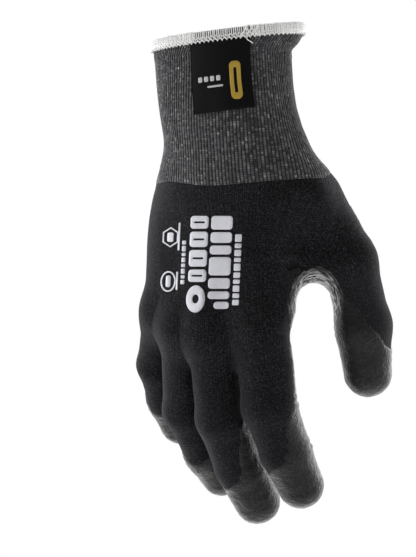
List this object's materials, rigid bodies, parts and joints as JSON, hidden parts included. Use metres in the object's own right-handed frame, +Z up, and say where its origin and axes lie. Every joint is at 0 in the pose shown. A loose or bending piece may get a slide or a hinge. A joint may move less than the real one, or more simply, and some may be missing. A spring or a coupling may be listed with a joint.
{
  "type": "cut resistant glove",
  "caption": "Knitted right-hand work glove with a rib cuff, a dipped grip coating on the palm and fingertips, and creases that bend like the hand.",
  "frame": {"origin": "middle of the footprint at the lowest fingertip", "axes": "+Z up the arm towards the cuff opening, -Y the back of the hand, +Y the palm, +X the thumb side"},
  "size_m": [0.1306, 0.0812, 0.2372],
  "materials": {
    "rib_knit": "heathered grey and black rib knit",
    "black_knit": "fine black seamless knit",
    "grip_coating": "thin grainy dipped coating, semi-gloss",
    "overlock_thread": "off-white overlock thread",
    "elastic_yarn": "covered elastic",
    "label_ribbon": "black woven satin ribbon",
    "print_film": "matt light grey transfer"
  },
  "bodies": {
    "cuff": {"cuff_elastic_yarn": "elastic_yarn", "cuff_rib": "rib_knit", "hem_overlock": "overlock_thread"},
    "label": {"label_folded": "label_ribbon"},
    "palm": {"back_print_main": "print_film", "back_print_side": "print_film", "cuff_rib_wrist": "rib_knit", "palm_coating": "grip_coating", "palm_liner": "black_knit"},
    "knuckles": {"index_base_coating": "grip_coating", "index_base_liner": "black_knit", "knuckle_coating": "grip_coating", "knuckle_liner": "black_knit", "little_base_coating": "grip_coating", "little_base_liner": "black_knit", "middle_base_coating": "grip_coating", "middle_base_liner": "black_knit", "ring_base_coating": "grip_coating", "ring_base_liner": "black_knit"},
    "thumb_root": {"thumb_root_coating": "grip_coating", "thumb_root_liner": "black_knit"},
    "thumb_middle": {"thumb_middle_coating": "grip_coating", "thumb_middle_liner": "black_knit"},
    "thumb_tip": {"thumb_tip_coating": "grip_coating", "thumb_tip_liner": "black_knit"},
    "index_middle": {"index_middle_coating": "grip_coating", "index_middle_liner": "black_knit"},
    "index_tip": {"index_tip_coating": "grip_coating", "index_tip_liner": "black_knit"},
    "middle_middle": {"middle_middle_coating": "grip_coating", "middle_middle_liner": "black_knit"},
    "middle_tip": {"middle_tip_coating": "grip_coating", "middle_tip_liner": "black_knit"},
    "ring_middle": {"ring_middle_coating": "grip_coating", "ring_middle_liner": "black_knit"},
    "ring_tip": {"ring_tip_coating": "grip_coating", "ring_tip_liner": "black_knit"},
    "little_middle": {"little_middle_coating": "grip_coating", "little_middle_liner": "black_knit"},
    "little_tip": {"little_tip_coating": "grip_coating", "little_tip_liner": "black_knit"}
  },
  "joints": [
    {"name": "label_flap", "type": "hinge", "parent": "cuff", "child": "label", "pos_m": [0.0107, -0.03852, 0.22648], "axis": [-0.9539, -0.2809, -0.106], "range_deg": [0, 150]},
    {"name": "wrist_bend", "type": "hinge", "parent": "cuff", "child": "palm", "pos_m": [0.00297, -0.01344, 0.17852], "axis": [1, 0, 0], "range_deg": [-25, 25], "stiffness_Nm_per_rad": 0.05},
    {"name": "knuckle_fold", "type": "hinge", "parent": "palm", "child": "knuckles", "pos_m": [-0.01053, -0.01094, 0.09852], "axis": [0.9925, -0.1225, 0], "range_deg": [-8, 25], "stiffness_Nm_per_rad": 0.04},
    {"name": "thumb_swing", "type": "hinge", "parent": "palm", "child": "thumb_root", "pos_m": [0.03947, -0.01044, 0.12952], "axis": [0, 0, -1], "range_deg": [-18, 4], "stiffness_Nm_per_rad": 0.03},
    {"name": "thumb_base_bend", "type": "hinge", "parent": "thumb_root", "child": "thumb_middle", "pos_m": [0.04842, 0.01822, 0.11712], "axis": [0.6112, 0.7364, 0.2901], "range_deg": [-5, 8], "stiffness_Nm_per_rad": 0.015},
    {"name": "thumb_end_bend", "type": "hinge", "parent": "thumb_middle", "child": "thumb_tip", "pos_m": [0.05177, 0.02406, 0.09522], "axis": [0.6164, 0.7544, 0.2255], "range_deg": [-8, 10], "stiffness_Nm_per_rad": 0.015},
    {"name": "index_middle_bend", "type": "hinge", "parent": "knuckles", "child": "index_middle", "pos_m": [0.01707, -0.00444, 0.05792], "axis": [0.9992, -0.013, 0.0377], "range_deg": [-12, 50], "stiffness_Nm_per_rad": 0.015},
    {"name": "index_end_bend", "type": "hinge", "parent": "index_middle", "child": "index_tip", "pos_m": [0.01987, 0.00606, 0.03602], "axis": [0.9912, -0.0621, 0.1171], "range_deg": [-7.5, 30.3]},
    {"name": "middle_middle_bend", "type": "hinge", "parent": "knuckles", "child": "middle_middle", "pos_m": [-0.00963, -0.00244, 0.05162], "axis": [0.9958, -0.0653, -0.0646], "range_deg": [-12, 50], "stiffness_Nm_per_rad": 0.015},
    {"name": "middle_end_bend", "type": "hinge", "parent": "middle_middle", "child": "middle_tip", "pos_m": [-0.00893, 0.01206, 0.02842], "axis": [0.9925, -0.1194, 0.0256], "range_deg": [-7.5, 30.3]},
    {"name": "ring_middle_bend", "type": "hinge", "parent": "knuckles", "child": "ring_middle", "pos_m": [-0.03363, 0.00456, 0.05522], "axis": [0.9963, 0.0422, -0.0747], "range_deg": [-12, 50], "stiffness_Nm_per_rad": 0.015},
    {"name": "ring_end_bend", "type": "hinge", "parent": "ring_middle", "child": "ring_tip", "pos_m": [-0.03173, 0.02006, 0.03412], "axis": [0.9933, -0.0707, 0.0917], "range_deg": [-7.5, 30.3]},
    {"name": "little_middle_bend", "type": "hinge", "parent": "knuckles", "child": "little_middle", "pos_m": [-0.05153, 0.00806, 0.07642], "axis": [0.9599, 0.1508, -0.2365], "range_deg": [-12, 50], "stiffness_Nm_per_rad": 0.015},
    {"name": "little_end_bend", "type": "hinge", "parent": "little_middle", "child": "little_tip", "pos_m": [-0.05433, 0.02006, 0.05972], "axis": [0.9992, 0.0226, -0.0322], "range_deg": [-7.5, 30.3]}
  ],
  "couplings": [
    {"joint": "index_end_bend", "follows": "index_middle_bend", "ratio": 0.6},
    {"joint": "middle_end_bend", "follows": "middle_middle_bend", "ratio": 0.6},
    {"joint": "ring_end_bend", "follows": "ring_middle_bend", "ratio": 0.6},
    {"joint": "little_end_bend", "follows": "little_middle_bend", "ratio": 0.6}
  ]
}
